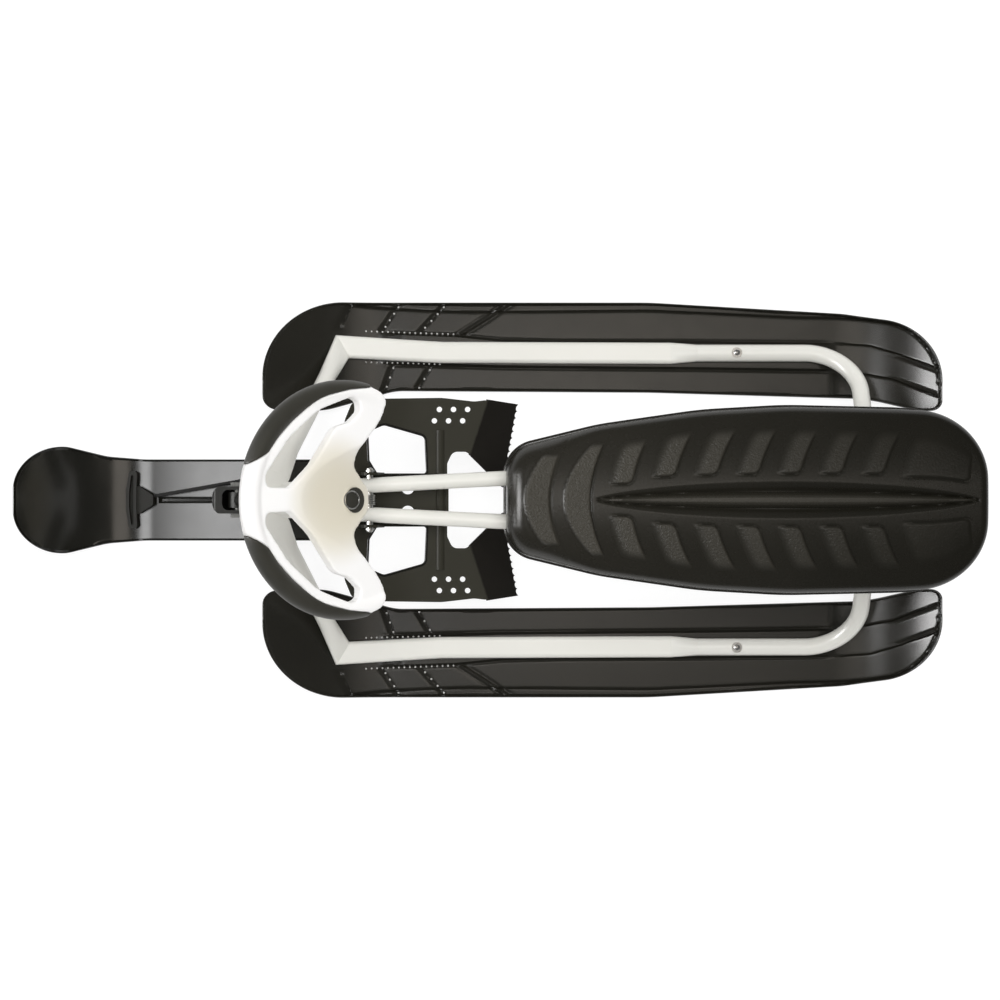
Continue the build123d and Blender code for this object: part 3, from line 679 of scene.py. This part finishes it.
# Loops down the wall, over the lip and up inside the skirt: share of the way to a height, step outwards and
# that height
seat_loops = (
    (0.08, 0.1, lip_z), (0.3, 0.4, lip_z), (0.6, 0.8, lip_z), (0.9, 1.0, lip_z), (0.98, 1.4, lip_z),
    (1, 2.2, lip_z), (1, 3.4, lip_z - 0.3), (1, lip_wide, lip_z - 1.1), (1, lip_wide, skirt_z + 1),
    (1, 3.5, skirt_z + 0.2), (1, 2.8, skirt_z), (1, -4.2, skirt_z), (1, -5, skirt_z + 0.8), (1, -5, under_z))
previous = top_loop
for way, step, level in seat_loops:
    start = sum(len(block) for block in points)
    heights = edge_points[:, 2] + (level - edge_points[:, 2]) * way
    points.append(np.column_stack((edge_points[:, :2] + outward * step, heights)))
    loop = list(range(start, start + len(top_loop)))
    for i in range(len(loop)):
        j = (i + 1) % len(loop)
        faces.append((previous[i], previous[j], loop[j], loop[i]))
    previous = loop
centre = sum(len(block) for block in points)
points.append(np.array([(stations.mean(), 0, under_z)]))
faces += [(previous[i], previous[(i + 1) % len(previous)], centre) for i in range(len(previous))]
seat_mesh = closed_mesh("seat_moulding", np.concatenate(points), faces, 50)
# The ridge's mask goes to the shader with the pads', to paint a highlight on the ridge
for name, mask in (("pad", pad), ("ridge", ridge * np.sqrt(swell))):
    on_points = seat_mesh.attributes.new(name, "FLOAT", "POINT")
    on_points.data.foreach_set("value", np.pad(mask.ravel(), (0, len(seat_mesh.vertices) - mask.size)))
seat_moulding = placed("seat_moulding", seat_mesh)

seat_plastic = Finish("grained seat plastic", Specular_IOR_Level=0.3)
on_pad = seat_plastic.attribute("pad")
# The grain is worn smooth towards the rear. The colour is painted lighter towards the front, most on the
# pads, as painted light falling from the front, and darker towards the rear as painted shade.
forward = seat_plastic.place.node("MapRange", None, {
    "Value": seat_plastic.axis(0), "From Min": -0.55, "From Max": -0.05, "To Min": 0, "To Max": 0.85})
seat_tone_and_light = seat_plastic.noise(12, 3) * 0.12 + forward * (on_pad + 0.3)
# Painted highlight: the ridge in the hollow is painted lighter, where it catches the light
seat_tone_and_light += seat_plastic.attribute("ridge") * 0.3
seat_plastic.link("Base Color", seat_tone_and_light.between((0.0055, 0.005, 0.0032), (0.047, 0.043, 0.034)))
seat_plastic.link("Roughness", seat_plastic.noise(80) * 0.06 + on_pad * (forward * 0.3 + 0.04) + 0.24)
grain = seat_plastic.noise(380, 2, 0.6) * (on_pad * (forward + 0.15) + 0.03)
seat_plastic.link("Normal", grain.bump(0.8, 0.0026))
coat(seat_mesh, seat_plastic)
settle(seat_moulding, "frame", "seat_black", "seat")

# Foot brake
# Pressed steel plate in black enamel, hung by two ears on the pivot rod, with a rolled rim round its windows.
# A wound spring of plated wire on the rod lifts it again when the foot comes off.
brake_enamel = Finish("black brake enamel", Specular_IOR_Level=0.06)
# The claws lie behind a slanting bend. Their colour is painted darker than the plate's, as painted shade
# where they tilt away from the light, and they are rougher.
bend_x, bend_slant = 0.04, 0.324
ahead_of_bend = brake_enamel.axis(0) + brake_enamel.axis(1).math("ABSOLUTE") * bend_slant - bend_x
on_plate = brake_enamel.place.node("MapRange", None, {
    "Value": ahead_of_bend + brake_enamel.noise(200) * 0.002, "From Min": 0, "From Max": 0.003,
    "To Min": 0, "To Max": 1})
brake_enamel.link("Base Color", on_plate.between((0.014, 0.0125, 0.0105), (0.03, 0.0285, 0.0215)))
brake_enamel.link("Roughness", brake_enamel.noise(60) * 0.1 + on_plate * -0.6 + 0.9)
brake_enamel.link("Normal", brake_enamel.noise(500).bump(0.05, 0.0004))
dress(brake_enamel, "brake_plate")

rolled = Jig("rolled rim", Rim_radius="Float")
rim_line = rolled.node("GeometryNodeMeshToCurve", None, {"Mesh": rolled.given["Base"]})
rim_round = rolled.node(
    "GeometryNodeCurvePrimitiveCircle", None, {"Resolution": 12, "Radius": rolled.given["Rim radius"]})
rim_tube = rolled.node(
    "GeometryNodeCurveToMesh", None, {"Curve": rim_line, "Profile Curve": rim_round, "Fill Caps": True})
rolled.close(rolled.node("GeometryNodeSetShadeSmooth", None, {"Geometry": rim_tube}))
# Rolled rim round each window of the plate, a little outside it: x, y and corner radius, in millimetres
rim_out = 1.4
window_path = shifted(rounded_path(
    [(105, 32, 0), (134.5, 32, 3), (144, 47.5, 5), (145.5, 82, 9), (127, 90, 9), (78, 76, 6), (76, 32, 3),
     (105, 32, 0)], 8), -rim_out)
rim_z = 111.8
window_loops = [
    np.column_stack((window_path * (1, side), np.full(len(window_path), rim_z))) for side in (1, -1)]
# Painted shade: the rolled rims get an enamel darker than the plate's, standing in for the shade that lines
# each window
rim_black = Finish("black rim enamel", Specular_IOR_Level=0.2)
rim_black.link(
    "Base Color", rim_black.noise(30, 3).between((0.005, 0.0048, 0.0035), (0.009, 0.0085, 0.0065)))
rim_black.link("Roughness", rim_black.noise(60) * 0.1 + 0.25)
window_rims = rolled.make("window_rims", threads(window_loops), rim_black, Rim_radius=1.5 * mm)
settle(window_rims, "brake", "brake_black")

coil = Jig("wound spring", Coil_radius="Float", Wire_radius="Float", Turns="Float", Length="Float")
path = coil.node("GeometryNodeCurveSpiral", None, {
    "Resolution": 24, "Rotations": coil.given["Turns"], "Start Radius": coil.given["Coil radius"],
    "End Radius": coil.given["Coil radius"], "Height": coil.given["Length"]})
wire = coil.node(
    "GeometryNodeCurvePrimitiveCircle", None, {"Resolution": 10, "Radius": coil.given["Wire radius"]})
wound = coil.node(
    "GeometryNodeCurveToMesh", None, {"Curve": path, "Profile Curve": wire, "Fill Caps": True})
coil.close(coil.on_spots(coil.node("GeometryNodeSetShadeSmooth", None, {"Geometry": wound})))
spring_low, spring_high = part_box("brake_spring")
wire_r = 1 * mm
spring_start = (rod_x, spring_low[1] + wire_r, rod_z)
return_spring = coil.make(
    "return_spring", spots([spring_start], [(0, 1, 0)]), zinc, Coil_radius=6.2 * mm, Wire_radius=wire_r,
    Turns=6.0, Length=float(spring_high[1] - spring_low[1] - 2 * wire_r))
settle(return_spring, "frame", "zinc_steel", "brake_spring")

# Steering wheel
# Satin white moulding with soft round edges and a valley round the hub, and two soft black grips moulded over
# its rim. A plain black cap with a thin plated ring closes the hub.


def joined_copy(node):
    """A new object with a copy of a CAD node's mesh, its loose triangles joined."""
    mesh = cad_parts[node].data.copy()
    if "custom_normal" in mesh.attributes:
        mesh.attributes.remove(mesh.attributes["custom_normal"])
    copy = bmesh.new()
    copy.from_mesh(mesh)
    bmesh.ops.remove_doubles(copy, verts=copy.verts, dist=0.002 * mm)
    copy.to_mesh(mesh)
    copy.free()
    return placed(node + "_moulding", mesh)


def softened(node, voxel, rounds):
    """A copy of a CAD node with its edges melted round, as a moulding has."""
    piece = joined_copy(node)
    remesh = piece.modifiers.new("remesh", "REMESH")
    remesh.mode = "VOXEL"
    remesh.voxel_size = voxel
    melt = piece.modifiers.new("melt", "SMOOTH")
    melt.factor = 0.5
    melt.iterations = rounds
    made_plain(piece)
    piece.data.shade_smooth()
    return piece


wheel_plastic = Finish("satin white plastic")
# Painted shade: an oval round the hub is painted creamier and darker, standing in for the shade of the valley
# that tilts away from the light. x of its middle, then half lengths and half widths to a metre
valley_x, per_length, per_width = 0.172, 24, 16
valley_long = (wheel_plastic.axis(0) - valley_x) * per_length
valley_wide = wheel_plastic.axis(1) * per_width
valley_shade = wheel_plastic.place.node("MapRange", {"interpolation_type": "SMOOTHSTEP"}, {
    "Value": valley_long * valley_long + valley_wide * valley_wide + wheel_plastic.noise(12, 3) * 0.2,
    "From Min": 0.2, "From Max": 1.9, "To Min": 0, "To Max": 1})
wheel_plastic.link("Base Color", valley_shade.between((0.74, 0.69, 0.565), (0.93, 0.92, 0.905)))
wheel_plastic.link("Roughness", wheel_plastic.noise(80) * 0.1 + 0.36)
wheel_plastic.link("Normal", wheel_plastic.noise(900).bump(0.03, 0.0003))
wheel_moulding = softened("steering_wheel", 1.5 * mm, 14)
coat(wheel_moulding.data, wheel_plastic)
settle(wheel_moulding, "steering", "wheel_white", "steering_wheel")

grip_rubber = Finish("soft grip rubber", Specular_IOR_Level=0.4)
grip_rubber.link(
    "Base Color", grip_rubber.noise(30, 3).between((0.027, 0.0257, 0.02), (0.038, 0.0362, 0.029)))
grip_rubber.link("Roughness", grip_rubber.noise(80) * 0.1 + 0.42)
grip_rubber.link("Normal", grip_rubber.noise(1200, 3).bump(0.12, 0.0005))
for word in ("left", "right"):
    grip_moulding = softened("wheel_grip_" + word, 1.3 * mm, 6)
    coat(grip_moulding.data, grip_rubber)
    settle(grip_moulding, "steering", "grip_black", "wheel_grip_" + word)
dress(grip_rubber, "wheel_hub_cap")
# The ring lies on the cap, square to the raked column
rake = math.radians(36)
column_foot = np.array((0.308, 0, 0.06))
column_up = np.array((-math.sin(rake), 0, math.cos(rake)))
cap_points = np.array([point.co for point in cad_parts["wheel_hub_cap"].data.vertices])
cap_top = ((cap_points - column_foot) @ column_up).max()
hub_ring = coil.make(
    "hub_ring", spots([column_foot + column_up * cap_top], [column_up]), zinc, Coil_radius=10 * mm,
    Wire_radius=0.8 * mm, Turns=1.0, Length=0.0)
settle(hub_ring, "steering", "zinc_steel")

# Front ski and its bracket
# Glossy shovel-nosed runner, and an eight-sided moulded cup that holds the foot of the steering column on a
# plated cross bolt.
nose_plastic = Finish("glossy nose plastic", Specular_IOR_Level=0.5)
nose_plastic.link(
    "Base Color", nose_plastic.noise(14, 3).between((0.005, 0.0048, 0.0034), (0.008, 0.0077, 0.0056)))
nose_plastic.link("Roughness", nose_plastic.noise(40, 3) * 0.06 + 0.1)
# Left half of the ski's outline: x, y and corner radius, in millimetres
nose_front, nose_rear, nose_front_r, nose_rear_r = 582, 181, 54, 26
nose_path = rounded_path(
    [(nose_front, 0, 0), (nose_front, 66, nose_front_r), (523, 66, 30), (476, 54.2, 90), (430, 50.6, 150),
     (nose_rear, 50.6, nose_rear_r), (nose_rear, 0, 0)], 30)[1:-1]
nose_turns = dict(front=(420, 245), rear=(226, 150))
nose_t, nose_rim, nose_rim_wide, nose_rim_r, nose_rim_foot = 5, 7.5, 5, 1.5, (1.2, 2.8)
# Middle rib: x and height of its rear and front end, half width, half width of its flat top, drop beside it
bar_x, bar_z, bar_half, bar_flat, bar_drop = (343, 413), (24, 10), 4, 2, 2.4
stations = np.concatenate((
    quarter(nose_front, -nose_front_r, 40), np.linspace(nose_front - nose_front_r, bar_x[1], 48)[1:],
    np.linspace(bar_x[1], bar_x[0], 30)[1:], np.linspace(bar_x[0], nose_rear + nose_rear_r, 30)[1:],
    quarter(nose_rear, nose_rear_r, 24)[-2::-1]))
nose_half = np.interp(stations, nose_path[::-1, 0], nose_path[::-1, 1])
panel_most = 40
panel_half = np.minimum(nose_half - nose_rim_wide, panel_most)
beside_bar = np.full_like(nose_half, bar_half + 0.4)
right_lanes = np.concatenate((
    eased(-nose_half, -panel_half, 12), eased(-panel_half, -beside_bar, 16)[:, 1:],
    eased(-beside_bar, np.zeros_like(nose_half), 8)[:, 1:]), axis=1)
lanes = np.concatenate((right_lanes, -right_lanes[:, -2::-1]), axis=1)
across_x = np.repeat(stations[:, None], lanes.shape[1], axis=1)
edge = to_edge(across_x, lanes, np.concatenate((nose_path, nose_path[::-1] * (1, -1), nose_path[:1])))
over = rimmed(edge, nose_rim, nose_t, nose_rim_r, nose_rim_foot)
beside_flat = np.clip((np.abs(lanes) - bar_flat) / (bar_half - bar_flat), 0, 1)
bar = np.interp(across_x, bar_x, bar_z) - bar_drop * beside_flat ** 2
on_bar = (np.abs(lanes) < bar_half) & (across_x < bar_x[1]) & (across_x > bar_x[0] - 1)
over = np.where(on_bar, np.maximum(over, bar), over)
nose_soles = turned_up(stations, 0, **nose_turns)
nose_tops = turned_up(across_x, over, **nose_turns)
nose_mesh = runner("nose_moulding", stations, lanes, nose_tops, nose_soles)
coat(nose_mesh, nose_plastic)
nose_moulding = placed("nose_moulding", nose_mesh)
settle(nose_moulding, "front_ski", "ski_black", "front_ski")

bracket_plastic = Finish("black bracket plastic", Specular_IOR_Level=0.25)
bracket_plastic.link(
    "Base Color", bracket_plastic.noise(30, 3).between((0.009, 0.0088, 0.007), (0.014, 0.0136, 0.011)))
bracket_plastic.link("Roughness", bracket_plastic.noise(80) * 0.1 + 0.42)
bracket_plastic.link("Normal", bracket_plastic.noise(900).bump(0.05, 0.0004))
dress(bracket_plastic, "ski_bracket", "column_eye", "lower_bush", "upper_bush", "tow_handle", "cord_reel")
dull_zinc = Finish("dull zinc", Metallic=1.0)
dull_zinc.link("Base Color", dull_zinc.noise(200, 3).between((0.10, 0.10, 0.095), (0.20, 0.20, 0.19)))
dull_zinc.link("Roughness", dull_zinc.noise(300) * 0.15 + 0.5)
dress(dull_zinc, "ski_pivot_bolt")

# Tow cord
# Three-strand black cord, pulled taut between the handle and the closed reel on the bracket. The rest of it
# is wound up inside the reel.
cord_yarn = Finish("black cord yarn", Specular_IOR_Level=0.2)
cord_yarn.link("Base Color", cord_yarn.noise(600, 3).between((0.010, 0.010, 0.010), (0.028, 0.027, 0.026)))
cord_yarn.link("Roughness", cord_yarn.noise(300) * 0.1 + 0.7)
laid = Jig("laid cord", Strand_radius="Float", Lay_radius="Float", Turns="Float", Length="Float")
lay = laid.node("GeometryNodeCurveSpiral", None, {
    "Resolution": 16, "Rotations": laid.given["Turns"], "Start Radius": laid.given["Lay radius"],
    "End Radius": laid.given["Lay radius"], "Height": laid.given["Length"]})
round_yarn = laid.node(
    "GeometryNodeCurvePrimitiveCircle", None, {"Resolution": 8, "Radius": laid.given["Strand radius"]})
strand = laid.node(
    "GeometryNodeCurveToMesh", None, {"Curve": lay, "Profile Curve": round_yarn, "Fill Caps": True})
strand_count = 3
strands = []
for k in range(strand_count):
    turn = (0, 0, k * 2 * math.pi / strand_count)
    strands.append(laid.node("GeometryNodeTransform", None, {"Geometry": strand, "Rotation": turn}))
laid.close(laid.on_spots(laid.node("GeometryNodeSetShadeSmooth", None, {
    "Geometry": laid.node("GeometryNodeJoinGeometry", None, {"Geometry": strands})})))
cord_start, cord_stop = np.array((415.8, -5, 20)), np.array((304.6, -24, 42))
cord_long = float(np.linalg.norm(cord_stop - cord_start))
lay_pitch = 13
cord_strands = laid.make(
    "cord_strands", spots([cord_start * mm], [cord_stop - cord_start]), cord_yarn, Strand_radius=1.2 * mm,
    Lay_radius=1.05 * mm, Turns=cord_long / lay_pitch, Length=cord_long * mm)
settle(cord_strands, "front_ski", "cord_black", "tow_cord")

# Floor, light and camera
# A plain white floor in an even white studio, with a bright panel ahead that shows in the front ski. The
# camera looks straight down, as in the photograph.
floor_half = 60.0
floor_mesh = bpy.data.meshes.new("floor")
floor_mesh.from_pydata(
    [(-floor_half, -floor_half, 0), (floor_half, -floor_half, 0), (floor_half, floor_half, 0),
     (-floor_half, floor_half, 0)], [], [(0, 1, 2, 3)])
floor = placed("floor", floor_mesh)
floor_paint = Finish(
    "white floor", Roughness=0.9, Specular_IOR_Level=0.0, Emission_Color=(1, 1, 1, 1),
    Emission_Strength=0.85)
floor_paint.link("Base Color", floor_paint.noise(2).between((0.24, 0.24, 0.24), (0.26, 0.26, 0.26)))
coat(floor_mesh, floor_paint)

camera_height, camera_x = 3.0, -0.013
camera_data = bpy.data.cameras.new("camera")
camera_data.sensor_width = 36
camera_data.lens = 86.4
camera = placed("camera", camera_data)
camera.location = (camera_x, 0, camera_height)
camera.rotation_euler = (0, 0, math.pi)
bpy.context.scene.camera = camera

# Soft boxes: name, place, aim, length and width, power, colour. The fills light the dull faces and the others
# only show in the glossy ones.
warm, white = (1, 0.915, 0.815), (1, 1, 1)
for name, place, aim, size, power, colour in (
        ("fill", (-0.3, -0.6, 4.5), (0, 0, 0), (3.5, 3.5), 194, white),
        ("left fill", (0.3, 3, 1.7), (0.2, 0, 0.2), (3, 1.6), 26, white),
        ("right fill", (0.3, -3, 1.7), (0.2, 0, 0.2), (3, 1.6), 26, white),
        ("right ceiling", (-0.43, -0.44, 3.4), (-0.43, -0.44, 0), (1.14, 0.4), 3.0, warm),
        ("left ceiling", (-0.43, 0.44, 3.4), (-0.43, 0.44, 0), (1.14, 0.4), 1.1, warm),
        ("middle ceiling", (-0.13, 0, 3.4), (-0.13, 0, 0), (0.54, 0.48), 1.9, warm),
        ("front ceiling", (0.665, 0, 3.4), (0.665, 0, 0), (0.39, 0.7), 8.7, white),
        ("front box", (2.5, 0, 1.5), (0, 0, 0.2), (0.9, 2.2), 140, white)):
    light_data = bpy.data.lights.new(name, "AREA")
    light_data.shape = "RECTANGLE"
    light_data.size, light_data.size_y = size
    light_data.energy = power
    light_data.color = colour
    light = placed(name, light_data)
    light.location = place
    light.visible_glossy = "fill" not in name
    light.visible_diffuse = "fill" in name
    light.rotation_euler = (Vector(aim) - Vector(place)).to_track_quat("-Z", "Y").to_euler()
world = bpy.data.worlds.new("studio")
world.use_nodes = True
world.node_tree.nodes["Background"].inputs["Color"].default_value = (1, 1, 1, 1)
world.node_tree.nodes["Background"].inputs["Strength"].default_value = 0.13
bpy.context.scene.world = world
bpy.context.scene.view_settings.view_transform = "Standard"
